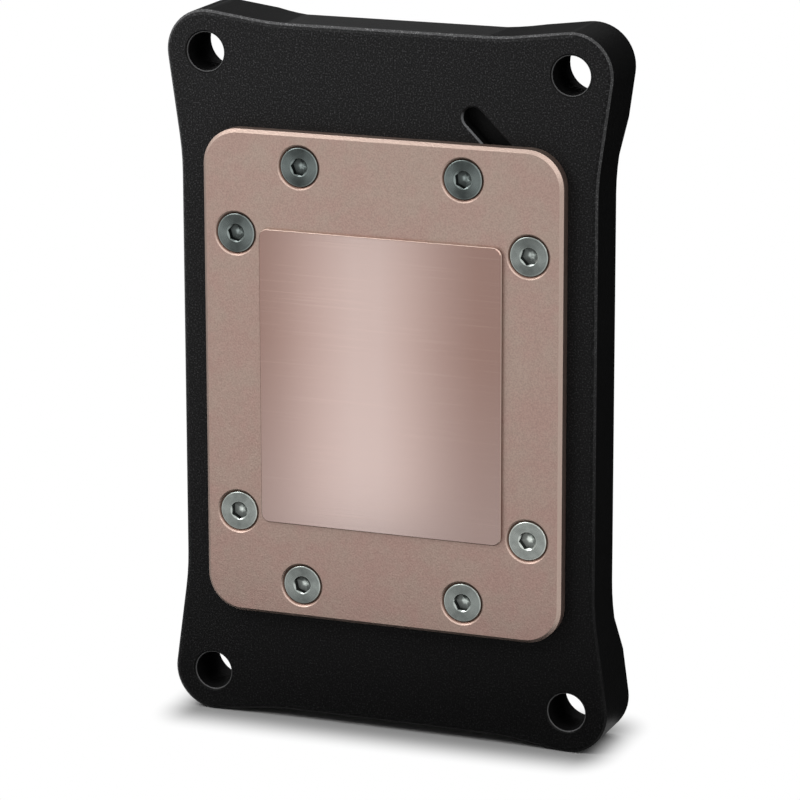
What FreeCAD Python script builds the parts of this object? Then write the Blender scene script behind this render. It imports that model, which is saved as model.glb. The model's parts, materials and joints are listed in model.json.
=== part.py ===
import FreeCAD, Part
import math
import os
import types
import Sketcher

# Processor water block, seen from the side that sits on the processor.
#
# X runs across, Z runs up the long side and Y runs through the thickness.
# The origin is the middle of the four corner holes, on the face of the top
# housing that the cold plate is screwed to. That face looks along -Y, so the
# cold plate lies at negative Y and the coolant channels at positive Y.
# Lengths are millimetres and angles are degrees.

SIZES = {
    # Corner holes and the waisted outline of the top housing
    "bolt_spacing_x": 56.0,         # centre to centre across, the narrow server pattern
    "bolt_spacing_z": 94.0,         # centre to centre up the long side
    "bolt_hole": 5.7,               # diameter of a corner hole
    "bolt_hole_edge": 0.3,          # its chamfer, at the mouth by the cold plate
    "bolt_sink": 7.8,               # wider bore from the far side, for the spring
    "bolt_sink_depth": 5.0,
    "housing_thickness": 8.5,       # in the middle and at the waists
    "housing_edge": 0.5,            # chamfer round both faces
    "lobe_radius": 6.15,            # round a corner hole
    "side_inset": 2.1,              # the waist lies this far inside the lobes, left and right
    "side_slope": 8.0,              # slant from the waist out to a lobe
    "side_bend": 40.0,              # hollow bend between waist and slant
    "end_inset": 1.3,               # the same three at the top and bottom ends
    "end_slope": 7.5,
    "end_bend": 40.0,
    # The corners stand higher on the far side and slope down to the middle
    "corner_rise": 2.5,
    "corner_flat": 6.0,             # from a hole's axis to where the slope begins
    "corner_slope": 69.0,           # between the slope and the thickness
    # Screws that hold the cold plate, four near its ends and four near its sides
    "end_screw_x": 12.6,
    "end_screw_z": 31.4,
    "side_screw_x": 22.6,
    "side_screw_z": 21.0,
    "thread_diameter": 3.0,
    "thread_clearance": 0.04,       # the tapped hole is this much wider than the screw
    "tap_end": 0.6,                 # tapped hole left below the screw's tip
    "screw_length": 8.0,            # over all, head included
    "head_diameter": 5.8,
    "head_sink": 0.15,              # the head's flat lies this far under the plate's face
    "socket_across": 2.0,           # hexagon, across its flats
    "socket_depth": 1.2,
    # Cold plate
    "plate_side_border": 5.1,       # from the side screws out to the plate's edge
    "plate_end_border": 5.0,        # from the end screws out to the plate's edge
    "plate_thickness": 2.2,
    "plate_corner": 5.5,
    "plate_edge": 0.5,
    "plate_hole": 3.4,              # clears the screw's thread
    "countersink": 6.7,             # width of the countersink in the plate's face
    # Raised platform that touches the processor
    "platform_side_gap": 0.5,       # from its edge to the side screws' countersinks
    "platform_height": 44.1,
    "platform_rise": 0.6,
    "platform_corner": 1.3,
    "platform_edge": 0.15,
    # Sealing ring and its groove, laid inside the ring of screws
    "seal_side_inset": 3.7,         # from the side screws in to the ring's middle line
    "seal_end_inset": 4.2,          # from the end screws in to the ring's middle line
    "seal_corner": 10.0,            # of the ring's middle line
    "seal_width": 2.0,              # squeezed cord
    "groove_width": 2.4,
    "groove_depth": 1.5,
    # Coolant chamber inside the ring, with an island that carries the jet plate
    "chamber_wall": 1.0,            # between the groove and the chamber
    "side_channel": 2.5,            # beside the island
    "end_channel": 9.8,             # past the island's ends
    # Fins of the cold plate
    "fin_thickness": 0.4,
    "fin_pitch": 0.8,
    "fin_rise": 2.2,
    "fin_margin": 0.2,              # the jet plate reaches this far past the fins
    # Jet plate and the feed pocket behind its slot
    "jet_thickness": 0.6,
    "jet_slot_width": 1.6,
    "jet_slot_margin": 2.2,         # from the slot's end to the plate's edge
    "feed_width": 5.0,
    # Hose ports in the far face
    "port_bore": 13.16,             # outside size of a quarter-inch parallel pipe thread
    "port_depth": 5.0,              # down to the floor of the coolant channels
    "port_edge": 0.5,
    "outlet_from_end": 3.0,         # outlet's axis, from the end of the chamber
    # Slanted pry slot that runs under the cold plate's edge
    "slot_width": 3.0,
    "slot_depth": 2.4,
    "slot_edge": 0.25,
    "slot_from_side": 14.4,         # its open end, from the plate's right edge
    "slot_above_plate": 3.65,       # its open end, from the plate's top edge
    "slot_run": 6.5,                # as far across as down
}

# Turn of each screw's hexagon, in the order in which the screws are made.
SOCKET_TURNS = (8.0, 24.0, 14.0, 47.0, 30.0, 52.0, 18.0, 3.0)

CORNERS_PER_FLAT = 1.0 / math.cos(math.radians(30.0))

document = FreeCAD.newDocument("water_block")


class Size:
    """A number together with the sheet expression that it comes from."""

    def __init__(self, value, text):
        self.value = value
        self.text = text

    def combined(self, other, sign, result):
        text = other.text if isinstance(other, Size) else repr(float(other))
        return Size(result, "(%s %s %s)" % (self.text, sign, text))

    def __add__(self, other):
        return self.combined(other, "+", self.value + number(other))

    def __sub__(self, other):
        return self.combined(other, "-", self.value - number(other))

    def __mul__(self, other):
        return self.combined(other, "*", self.value * number(other))

    def __truediv__(self, other):
        return self.combined(other, "/", self.value / number(other))

    def __neg__(self):
        return Size(-self.value, "(0 - %s)" % self.text)


def number(size):
    """The plain number of a Size, or of a number."""
    return size.value if isinstance(size, Size) else float(size)


def whole(size):
    """A Size rounded down to a whole number."""
    return Size(math.floor(size.value), "floor(%s)" % size.text)


def make_sheet():
    """Writes every driving size into the sheet and gives back their Size objects."""
    sheet = document.addObject("Spreadsheet::Sheet", "Sizes")
    sizes = {}
    for row, (name, value) in enumerate(SIZES.items(), start=1):
        sheet.set("A%d" % row, name.replace("_", " "))
        sheet.set("B%d" % row, str(value))
        sheet.setAlias("B%d" % row, name)
        sizes[name] = Size(value, "Sizes." + name)
    document.recompute()
    return types.SimpleNamespace(**sizes)


size = make_sheet()
ZERO = size.bolt_hole * 0.0

# Lengths that follow from the driving sizes
bolt_x = size.bolt_spacing_x / 2
bolt_z = size.bolt_spacing_z / 2
waist_x = bolt_x + size.lobe_radius - size.side_inset
waist_z = bolt_z + size.lobe_radius - size.end_inset
corner_face = size.housing_thickness + size.corner_rise
plate_x = size.side_screw_x + size.plate_side_border
plate_z = size.end_screw_z + size.plate_end_border
platform_x = size.side_screw_x - size.countersink / 2 - size.platform_side_gap
seal_x = size.side_screw_x - size.seal_side_inset
seal_z = size.end_screw_z - size.seal_end_inset
chamber_offset = size.groove_width / 2 + size.chamber_wall
chamber_x = seal_x - chamber_offset
chamber_z = seal_z - chamber_offset
chamber_corner = size.seal_corner - chamber_offset
island_x = chamber_x - size.side_channel
island_z = chamber_z - size.end_channel
fin_end = island_z - size.fin_margin
fin_side = island_x - size.fin_margin
jet_slot_end = island_x - size.jet_slot_margin
jet_level = size.fin_rise + size.jet_thickness
channel_floor = size.housing_thickness - size.port_depth
outlet_z = chamber_z - size.outlet_from_end
screw_level = size.head_sink - size.plate_thickness


def new_body(label):
    """An empty body whose label names the piece."""
    body = document.addObject("PartDesign::Body", label)
    body.Label = label
    return body


def new_sketch(body, name, role, depth=ZERO):
    """An empty sketch on one of the body's own planes; depth is its Y on the XZ plane."""
    sketch = body.newObject("Sketcher::SketchObject", name)
    planes = [feature for feature in body.Origin.OriginFeatures if feature.Role == role]
    sketch.AttachmentSupport = [(planes[0], "")]
    sketch.MapMode = "FlatFace"
    sketch.setExpression("AttachmentOffset.Base.z", (-depth).text)
    return sketch


def dimension(sketch, length, kind, *references):
    """Adds one driving dimension and ties it to the sheet."""
    index = sketch.addConstraint(Sketcher.Constraint(kind, *references, length.value))
    unit = " * 1 deg" if kind == "Angle" else ""
    sketch.setExpression("Constraints[%d]" % index, length.text + unit)


def fix_point(sketch, line, end, across, up):
    """Ties one point of a sketch to signed distances from the sketch's origin."""
    for kind, axis, distance in (("DistanceX", -2, across), ("DistanceY", -1, up)):
        if distance.value == 0:
            sketch.addConstraint(Sketcher.Constraint("PointOnObject", line, end, axis))
        elif distance.value > 0:
            dimension(sketch, distance, kind, -1, 1, line, end)
        else:
            dimension(sketch, -distance, kind, line, end, -1, 1)


def point(across, up):
    """A sketch point from two Sizes or numbers."""
    return FreeCAD.Vector(number(across), number(up), 0)


def add_arc(sketch, centre, radius, start, end):
    """An arc that runs anticlockwise between two angles in degrees."""
    circle = Part.Circle(centre, FreeCAD.Vector(0, 0, 1), number(radius))
    return sketch.addGeometry(Part.ArcOfCircle(circle, math.radians(start), math.radians(end)))


def add_circle(sketch, across, up, diameter):
    """A circle tied to its centre and diameter."""
    circle = Part.Circle(point(across, up), FreeCAD.Vector(0, 0, 1), number(diameter) / 2)
    line = sketch.addGeometry(circle)
    fix_point(sketch, line, 3, across, up)
    dimension(sketch, diameter, "Diameter", line)


def add_polygon(sketch, corners):
    """A closed polygon with each corner tied to the sketch's origin."""
    lines = []
    for first, second in zip(corners, corners[1:] + corners[:1]):
        segment = Part.LineSegment(point(*first), point(*second))
        lines.append(sketch.addGeometry(segment))
    for line, following in zip(lines, lines[1:] + lines[:1]):
        sketch.addConstraint(Sketcher.Constraint("Coincident", line, 2, following, 1))
    for line, corner in zip(lines, corners):
        fix_point(sketch, line, 1, *corner)


def add_rounded_rectangle(sketch, half_x, half_z, radius):
    """A rectangle about the origin with four equal round corners."""
    corners = ((1, 1, 0), (-1, 1, 90), (-1, -1, 180), (1, -1, 270))
    flat_x = half_x - radius
    flat_z = half_z - radius
    arcs = []
    for sign_x, sign_z, start in corners:
        centre = point(sign_x * flat_x.value, sign_z * flat_z.value)
        arcs.append(add_arc(sketch, centre, radius, start, start + 90))
    geometry = sketch.Geometry
    for arc, following in zip(arcs, arcs[1:] + arcs[:1]):
        segment = Part.LineSegment(geometry[arc].EndPoint, geometry[following].StartPoint)
        line = sketch.addGeometry(segment)
        sketch.addConstraint(Sketcher.Constraint("Tangent", arc, 2, line, 1))
        sketch.addConstraint(Sketcher.Constraint("Tangent", line, 2, following, 1))
    for arc, (sign_x, sign_z, start) in zip(arcs, corners):
        fix_point(sketch, arc, 3, flat_x * sign_x, flat_z * sign_z)
    for arc in arcs[1:]:
        sketch.addConstraint(Sketcher.Constraint("Equal", arcs[0], arc))
    dimension(sketch, radius, "Radius", arcs[0])


def add_obround(sketch, first, second, width):
    """A slot with round ends about two centres, its width between straight sides."""
    run = point(*second) - point(*first)
    heading = math.degrees(math.atan2(run.y, run.x))
    far = add_arc(sketch, point(*second), width / 2, heading - 90, heading + 90)
    near = add_arc(sketch, point(*first), width / 2, heading + 90, heading + 270)
    geometry = sketch.Geometry
    for arc, following in ((far, near), (near, far)):
        segment = Part.LineSegment(geometry[arc].EndPoint, geometry[following].StartPoint)
        line = sketch.addGeometry(segment)
        sketch.addConstraint(Sketcher.Constraint("Tangent", arc, 2, line, 1))
        sketch.addConstraint(Sketcher.Constraint("Tangent", line, 2, following, 1))
    fix_point(sketch, far, 3, *second)
    fix_point(sketch, near, 3, *first)
    sketch.addConstraint(Sketcher.Constraint("Equal", far, near))
    dimension(sketch, width / 2, "Radius", far)


def volume_now(body):
    """The body's volume after everything up to its tip is worked out."""
    document.recompute()
    return body.Shape.Volume if body.Tip and not body.Shape.isNull() else 0.0


def extruded(body, kind, name, sketch, length, away):
    """A pad or a pocket; away sends it towards +Y. Each one has to change the volume."""
    before = volume_now(body)
    feature = body.newObject("PartDesign::" + kind, name)
    feature.Profile = sketch
    feature.Type = "Length"
    feature.setExpression("Length", length.text)
    # A sketch on the XZ plane faces -Y: a pad follows it, and a pocket goes against it.
    feature.Reversed = away if kind == "Pad" else not away
    after = volume_now(body)
    grown = after > before if kind == "Pad" else after < before
    if not grown:
        raise RuntimeError(name + " leaves the piece as it was")
    return feature


def pad(body, name, sketch, length, away=False):
    """Adds material, towards the viewer unless away is set."""
    return extruded(body, "Pad", name, sketch, length, away)


def pocket(body, name, sketch, length, away=True):
    """Cuts into the piece from the viewer's side unless away is cleared."""
    return extruded(body, "Pocket", name, sketch, length, away)


def edges_where(feature, test):
    """Names of the feature's edges that pass a test."""
    edges = enumerate(feature.Shape.Edges, start=1)
    return ["Edge%d" % index for index, edge in edges if test(edge)]


def lies_at(edge, level):
    """Whether the whole edge lies in the plane Y = level."""
    box = edge.BoundBox
    return abs(box.YMin - level) < 1e-5 and abs(box.YMax - level) < 1e-5


def chamfer_edges(body, name, amount, test):
    """A chamfer on those edges of the body's tip that pass a test."""
    base = body.Tip
    feature = body.newObject("PartDesign::Chamfer", name)
    feature.Base = (base, edges_where(base, test))
    feature.setExpression("Size", amount.text)
    document.recompute()
    return feature


def mirrored(body, name, originals, sketch, axis):
    """The body's shape so far, doubled about a plane through one axis of a sketch."""
    feature = body.newObject("PartDesign::Mirrored", name)
    feature.Originals = originals
    feature.TransformMode = "Whole shape"
    feature.MirrorPlane = (sketch, [axis])
    body.Tip = feature
    document.recompute()
    return feature


def quarters(across, up):
    """The four signed copies of a point, one in each quarter."""
    return [(across * sign_x, up * sign_z) for sign_z in (1, -1) for sign_x in (-1, 1)]


def rectangle(across, up):
    """Corners of a rectangle about the origin, in order round it."""
    return [(across, up), (-across, up), (-across, -up), (across, -up)]


def screw_places():
    """The eight screws' axes, from the upper left to the lower right."""
    ends = quarters(size.end_screw_x, size.end_screw_z)
    sides = quarters(size.side_screw_x, size.side_screw_z)
    return ends[:2] + sides + ends[2:]


def slope_start(waist, bend, slope, lobe_across, lobe_along):
    """How far along the waist its hollow bend begins.

    The slant touches the lobe's circle and the bend's circle on the same side,
    so both centres have equal distances from it once their radii are added.
    """
    angle = math.radians(slope.value)
    across = (waist.value + bend.value - lobe_across.value) * math.cos(angle)
    along = lobe_along.value * math.sin(angle)
    return (across + along - size.lobe_radius.value - bend.value) / math.sin(angle)


def add_outline_quarter(sketch):
    """One quarter of the waisted outline: waist, bend, slant, lobe, and the same back."""
    side_start = slope_start(waist_x, size.side_bend, size.side_slope, bolt_x, bolt_z)
    end_start = slope_start(waist_z, size.end_bend, size.end_slope, bolt_z, bolt_x)
    side = size.side_slope.value
    end = size.end_slope.value
    side_bend_centre = point(waist_x + size.side_bend, side_start)
    end_bend_centre = point(end_start, waist_z + size.end_bend)

    side_bend = add_arc(sketch, side_bend_centre, size.side_bend, 180 - side, 180)
    lobe = add_arc(sketch, point(bolt_x, bolt_z), size.lobe_radius, -side, 90 + end)
    end_bend = add_arc(sketch, end_bend_centre, size.end_bend, 270, 270 + end)

    arcs = sketch.Geometry
    stops = (
        (point(0, 0), point(waist_x, 0)),
        (point(waist_x, 0), arcs[side_bend].EndPoint),
        (arcs[side_bend].StartPoint, arcs[lobe].StartPoint),
        (arcs[lobe].EndPoint, arcs[end_bend].EndPoint),
        (arcs[end_bend].StartPoint, point(0, waist_z)),
        (point(0, waist_z), point(0, 0)),
    )
    lines = [sketch.addGeometry(Part.LineSegment(*stop)) for stop in stops]
    base, side_waist, side_slant, end_slant, end_waist, middle = lines

    joints = (
        ("Coincident", base, 1, -1, 1),
        ("Coincident", base, 2, side_waist, 1),
        ("Tangent", side_waist, 2, side_bend, 2),
        ("Tangent", side_bend, 1, side_slant, 1),
        ("Tangent", side_slant, 2, lobe, 1),
        ("Tangent", lobe, 2, end_slant, 1),
        ("Tangent", end_slant, 2, end_bend, 2),
        ("Tangent", end_bend, 1, end_waist, 1),
        ("Coincident", end_waist, 2, middle, 1),
        ("Coincident", middle, 2, base, 1),
        ("Horizontal", base),
        ("Vertical", side_waist),
        ("Horizontal", end_waist),
        ("Vertical", middle),
    )
    for joint in joints:
        sketch.addConstraint(Sketcher.Constraint(*joint))
    fix_point(sketch, lobe, 3, bolt_x, bolt_z)
    dimension(sketch, waist_x, "DistanceX", -1, 1, base, 2)
    dimension(sketch, waist_z, "DistanceY", -1, 1, middle, 1)
    dimension(sketch, size.lobe_radius, "Radius", lobe)
    dimension(sketch, size.side_bend, "Radius", side_bend)
    dimension(sketch, size.end_bend, "Radius", end_bend)
    dimension(sketch, size.side_slope, "Angle", side_slant, 1, side_waist, 1)
    dimension(sketch, size.end_slope, "Angle", end_waist, 1, end_slant, 1)


def add_hollow(sketch):
    """A cross whose four inner corners are arcs about the corner holes.

    Its arms reach well past the outline, so that the slopes leave nothing there.
    """
    reach_x = bolt_x + size.lobe_radius * 4
    reach_z = bolt_z + size.lobe_radius * 4
    inner_x = bolt_x - size.corner_flat
    inner_z = bolt_z - size.corner_flat
    arcs = []
    for sign_x, sign_z, start in ((1, 1, 180), (-1, 1, 270), (-1, -1, 0), (1, -1, 90)):
        centre = point(bolt_x * sign_x, bolt_z * sign_z)
        arcs.append(add_arc(sketch, centre, size.corner_flat, start, start + 90))
    # Each arm of the cross joins two arcs by a step out, a cap and a step back
    arms = (
        (arcs[0], 1, (inner_x, reach_z), (-inner_x, reach_z), arcs[1], 2),
        (arcs[1], 1, (-reach_x, inner_z), (-reach_x, -inner_z), arcs[2], 2),
        (arcs[2], 1, (-inner_x, -reach_z), (inner_x, -reach_z), arcs[3], 2),
        (arcs[3], 1, (reach_x, -inner_z), (reach_x, inner_z), arcs[0], 2),
    )
    for arc, end, first, second, following, start in arms:
        geometry = sketch.Geometry
        leaving = geometry[arc].StartPoint if end == 1 else geometry[arc].EndPoint
        arriving = geometry[following].EndPoint
        stops = (leaving, point(*first), point(*second), arriving)
        out, cap, back = [
            sketch.addGeometry(Part.LineSegment(*pair)) for pair in zip(stops, stops[1:])
        ]
        sketch.addConstraint(Sketcher.Constraint("Tangent", arc, end, out, 1))
        sketch.addConstraint(Sketcher.Constraint("Coincident", out, 2, cap, 1))
        sketch.addConstraint(Sketcher.Constraint("Coincident", cap, 2, back, 1))
        sketch.addConstraint(Sketcher.Constraint("Tangent", back, 2, following, start))
        fix_point(sketch, cap, 1, *first)
        fix_point(sketch, cap, 2, *second)
    for arc, (sign_x, sign_z) in zip(arcs, ((1, 1), (-1, 1), (-1, -1), (1, -1))):
        fix_point(sketch, arc, 3, bolt_x * sign_x, bolt_z * sign_z)


def make_housing():
    """The top housing: one waisted plate with the channels, groove, holes and ports."""
    body = new_body("top_housing")
    far_face = size.housing_thickness

    outline = new_sketch(body, "housing_outline", "XZ_Plane")
    add_outline_quarter(outline)
    quarter = pad(body, "housing_quarter", outline, corner_face, away=True)
    half = mirrored(body, "housing_half", [quarter], outline, "V_Axis")
    mirrored(body, "housing_plate", [half], outline, "H_Axis")

    def on_a_face(edge):
        return lies_at(edge, 0) or lies_at(edge, corner_face.value)

    chamfer_edges(body, "housing_edges", size.housing_edge, on_a_face)

    # Everything but the corners is lowered, with slopes that run up to them
    hollow = new_sketch(body, "hollow", "XZ_Plane", corner_face)
    add_hollow(hollow)
    lowered = pocket(body, "hollow_cut", hollow, size.corner_rise, away=False)
    lowered.setExpression("TaperAngle", (-size.corner_slope).text + " * 1 deg")
    document.recompute()

    # Corner holes, chamfered where the cold plate is
    holes = new_sketch(body, "corner_holes", "XZ_Plane")
    for place in quarters(bolt_x, bolt_z):
        add_circle(holes, *place, size.bolt_hole)
    pocket(body, "corner_drilling", holes, corner_face)
    sinks = new_sketch(body, "corner_sinks", "XZ_Plane", corner_face)
    for place in quarters(bolt_x, bolt_z):
        add_circle(sinks, *place, size.bolt_sink)
    pocket(body, "corner_sinking", sinks, size.bolt_sink_depth, away=False)

    def on_a_mouth(edge):
        return lies_at(edge, 0) and is_circle(edge, size.bolt_hole)

    chamfer_edges(body, "corner_hole_edges", size.bolt_hole_edge, on_a_mouth)

    # Coolant chamber down to the island, then the deeper channel round it
    chamber = new_sketch(body, "chamber", "XZ_Plane")
    add_rounded_rectangle(chamber, chamber_x, chamber_z, chamber_corner)
    pocket(body, "chamber_cut", chamber, jet_level)
    channel = new_sketch(body, "channel", "XZ_Plane")
    add_rounded_rectangle(channel, chamber_x, chamber_z, chamber_corner)
    add_polygon(channel, rectangle(island_x, island_z))
    pocket(body, "channel_cut", channel, channel_floor)

    # Feed pocket in the island, behind the jet plate's slot
    feed = new_sketch(body, "feed", "XZ_Plane", jet_level)
    feed_end = jet_slot_end - size.feed_width / 4
    add_obround(feed, (-feed_end, ZERO), (feed_end, ZERO), size.feed_width)
    pocket(body, "feed_cut", feed, channel_floor - jet_level)

    # Groove for the sealing ring
    groove = new_sketch(body, "groove", "XZ_Plane")
    for side in (0.5, -0.5):
        shift = size.groove_width * side
        add_rounded_rectangle(groove, seal_x + shift, seal_z + shift, size.seal_corner + shift)
    pocket(body, "groove_cut", groove, size.groove_depth)

    # Tapped holes for the eight screws
    tapped = new_sketch(body, "tapped_holes", "XZ_Plane")
    for place in screw_places():
        add_circle(tapped, *place, size.thread_diameter + size.thread_clearance)
    reach = size.screw_length + screw_level + size.tap_end
    pocket(body, "tapping", tapped, reach)

    # Pry slot, slanting down under the plate's upper right corner
    slot = new_sketch(body, "pry_slot", "XZ_Plane")
    open_x = plate_x - size.slot_from_side
    open_z = plate_z + size.slot_above_plate
    covered = (open_x + size.slot_run, open_z - size.slot_run)
    add_obround(slot, (open_x, open_z), covered, size.slot_width)
    pocket(body, "pry_slot_cut", slot, size.slot_depth)
    slot_box = (open_x, open_z, size.slot_run, size.slot_width)

    def on_the_slot(edge):
        across, up, run, width = [length.value for length in slot_box]
        box = edge.BoundBox
        left = across - width / 2 - 0.01
        right = across + run + width / 2 + 0.01
        low = up - run - width / 2 - 0.01
        inside = box.XMin > left and box.XMax < right and box.ZMin > low
        return lies_at(edge, 0) and inside and not is_circle(edge, size.bolt_hole)

    chamfer_edges(body, "pry_slot_edges", size.slot_edge, on_the_slot)

    # Inlet over the jet plate's slot, outlet over the lower end of the channel
    ports = new_sketch(body, "ports", "XZ_Plane", far_face)
    add_circle(ports, ZERO, ZERO, size.port_bore)
    add_circle(ports, ZERO, -outlet_z, size.port_bore)
    pocket(body, "port_bores", ports, size.port_depth, away=False)

    def on_a_port(edge):
        return lies_at(edge, far_face.value) and is_circle(edge, size.port_bore)

    chamfer_edges(body, "port_edges", size.port_edge, on_a_port)
    return body


def is_circle(edge, diameter):
    """Whether the edge is round with this diameter."""
    round_edge = isinstance(edge.Curve, Part.Circle)
    return round_edge and abs(edge.Curve.Radius - diameter.value / 2) < 1e-4


def make_cold_plate():
    """The copper plate: raised platform, countersunk holes and a field of thin fins."""
    body = new_body("cold_plate")
    front = -size.plate_thickness

    outline = new_sketch(body, "plate_outline", "XZ_Plane")
    add_rounded_rectangle(outline, plate_x, plate_z, size.plate_corner)
    pad(body, "plate", outline, size.plate_thickness)

    def on_the_front(edge):
        return lies_at(edge, front.value)

    chamfer_edges(body, "plate_edges", size.plate_edge, on_the_front)

    platform = new_sketch(body, "platform_outline", "XZ_Plane", front)
    add_rounded_rectangle(platform, platform_x, size.platform_height / 2, size.platform_corner)
    pad(body, "platform", platform, size.platform_rise)
    top = front - size.platform_rise

    def on_the_platform(edge):
        return lies_at(edge, top.value)

    chamfer_edges(body, "platform_edges", size.platform_edge, on_the_platform)

    # Countersunk holes for the eight screws
    centres = new_sketch(body, "screw_holes", "XZ_Plane", front)
    for place in screw_places():
        add_circle(centres, *place, size.plate_hole)
    before = volume_now(body)
    drilling = body.newObject("PartDesign::Hole", "countersinks")
    drilling.Profile = centres
    document.recompute()
    drilling.ThreadType = "None"
    drilling.DepthType = "ThroughAll"
    drilling.setExpression("Diameter", size.plate_hole.text)
    drilling.HoleCutType = "Countersink"
    drilling.setExpression("HoleCutDiameter", size.countersink.text)
    drilling.HoleCutCountersinkAngle = 90
    if not volume_now(body) < before:
        raise RuntimeError("the countersinks cut nothing")

    # Fins stand side by side across the plate's inner face and run up it
    fin = new_sketch(body, "fin_foot", "XZ_Plane")
    gaps = whole((fin_side * 2 - size.fin_thickness) / size.fin_pitch)
    first = -(size.fin_pitch * gaps / 2)
    left = first - size.fin_thickness / 2
    right = first + size.fin_thickness / 2
    add_polygon(fin, [(left, -fin_end), (right, -fin_end), (right, fin_end), (left, fin_end)])
    blade = pad(body, "fin", fin, size.fin_rise, away=True)
    row = body.newObject("PartDesign::LinearPattern", "fins")
    row.Originals = [blade]
    row.Direction = (fin, ["H_Axis"])
    row.Mode = "Spacing"
    row.setExpression("Offset", size.fin_pitch.text)
    row.setExpression("Occurrences", (gaps + 1).text)
    body.Tip = row
    return body


def make_seal():
    """The sealing ring, squeezed between the groove's floor and the cold plate."""
    body = new_body("seal_ring")
    section = new_sketch(body, "ring_outline", "XZ_Plane")
    for side in (0.5, -0.5):
        shift = size.seal_width * side
        add_rounded_rectangle(section, seal_x + shift, seal_z + shift, size.seal_corner + shift)
    pad(body, "ring", section, size.groove_depth, away=True)
    return body


def make_jet_plate():
    """The thin plate that rests on the fins and sends the coolant through its slot."""
    body = new_body("jet_plate")
    outline = new_sketch(body, "jet_outline", "XZ_Plane", size.fin_rise)
    add_polygon(outline, rectangle(island_x, island_z))
    slot_end = jet_slot_end - size.jet_slot_width / 2
    add_obround(outline, (-slot_end, ZERO), (slot_end, ZERO), size.jet_slot_width)
    pad(body, "jet_sheet", outline, size.jet_thickness, away=True)
    return body


def make_screw(label, across, up, turn):
    """A countersunk screw with a hexagon socket, its tip towards +Y.

    Its cone lies on the plate's countersink, so the upright rim of the head is
    as tall as the countersink leaves above that cone.
    """
    body = new_body(label)
    body.Placement.Rotation = FreeCAD.Rotation(FreeCAD.Vector(0, 1, 0), turn)
    body.setExpression("Placement.Base.x", across.text)
    body.setExpression("Placement.Base.y", screw_level.text)
    body.setExpression("Placement.Base.z", up.text)

    head = size.head_diameter / 2
    shank = size.thread_diameter / 2
    rim = size.countersink / 2 - head - size.head_sink
    cone_end = rim + head - shank
    profile = new_sketch(body, "profile", "XY_Plane")
    add_polygon(profile, [
        (ZERO, ZERO),
        (head, ZERO),
        (head, rim),
        (shank, cone_end),
        (shank, size.screw_length),
        (ZERO, size.screw_length),
    ])
    turned = body.newObject("PartDesign::Revolution", "turned")
    turned.Profile = profile
    turned.ReferenceAxis = (profile, ["V_Axis"])
    turned.Angle = 360
    socket = new_sketch(body, "socket", "XZ_Plane")
    corner = size.socket_across * (CORNERS_PER_FLAT / 2)
    flat = size.socket_across / 2
    add_polygon(socket, [
        (corner, ZERO),
        (corner / 2, flat),
        (-corner / 2, flat),
        (-corner, ZERO),
        (-corner / 2, -flat),
        (corner / 2, -flat),
    ])
    pocket(body, "socket_cut", socket, size.socket_depth)
    return body


pieces = [make_housing(), make_cold_plate(), make_seal(), make_jet_plate()]
for index, (place, turn) in enumerate(zip(screw_places(), SOCKET_TURNS), start=1):
    pieces.append(make_screw("plate_screw_%d" % index, *place, turn))
document.recompute()

for item in document.Objects:
    if "Invalid" in item.State or "Error" in item.State:
        raise RuntimeError("%s failed: %s" % (item.Name, item.State))
for piece in pieces:
    if piece.Shape.isNull() or not piece.Shape.isValid() or len(piece.Shape.Solids) != 1:
        raise RuntimeError(piece.Label + " is not one valid solid")

os.makedirs("parts", exist_ok=True)
for piece in pieces:
    piece.Shape.exportStep("parts/%s.step" % piece.Label)
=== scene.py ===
import json
import math

import bmesh
import bpy
import numpy as np
from mathutils import Matrix, Vector


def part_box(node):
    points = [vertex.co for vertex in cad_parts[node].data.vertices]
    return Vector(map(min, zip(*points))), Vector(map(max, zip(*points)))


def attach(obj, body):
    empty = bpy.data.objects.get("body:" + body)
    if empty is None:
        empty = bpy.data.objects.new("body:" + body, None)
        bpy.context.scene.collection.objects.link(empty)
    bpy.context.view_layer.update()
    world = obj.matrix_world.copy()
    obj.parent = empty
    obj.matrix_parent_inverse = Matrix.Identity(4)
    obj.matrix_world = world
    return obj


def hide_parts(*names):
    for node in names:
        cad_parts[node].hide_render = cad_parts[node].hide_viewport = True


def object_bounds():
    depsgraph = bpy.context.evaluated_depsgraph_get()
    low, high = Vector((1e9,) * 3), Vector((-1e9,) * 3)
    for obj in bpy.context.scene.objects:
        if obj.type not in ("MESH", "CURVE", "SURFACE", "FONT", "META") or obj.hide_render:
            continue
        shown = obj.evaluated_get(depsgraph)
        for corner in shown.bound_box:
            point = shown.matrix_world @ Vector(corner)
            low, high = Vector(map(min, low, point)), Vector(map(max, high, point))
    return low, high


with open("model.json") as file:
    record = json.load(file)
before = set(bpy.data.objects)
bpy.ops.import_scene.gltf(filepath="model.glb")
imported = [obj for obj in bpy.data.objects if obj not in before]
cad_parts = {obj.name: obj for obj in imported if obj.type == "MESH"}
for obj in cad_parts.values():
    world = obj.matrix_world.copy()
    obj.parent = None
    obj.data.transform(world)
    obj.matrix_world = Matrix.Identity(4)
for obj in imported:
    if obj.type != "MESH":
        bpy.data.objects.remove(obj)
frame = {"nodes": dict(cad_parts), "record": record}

# Processor water block: finishes, screws, port threads and a plain studio.
#
# Lengths are metres in the object's own frame. X runs across, Z up the long side
# and Y through the thickness. The cold plate looks along -Y.

CAD_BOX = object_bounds()
MM = 0.001
ROUND_STEPS = 72                    # points round a full turn of a screw or a thread

# Places, from the frame

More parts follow.
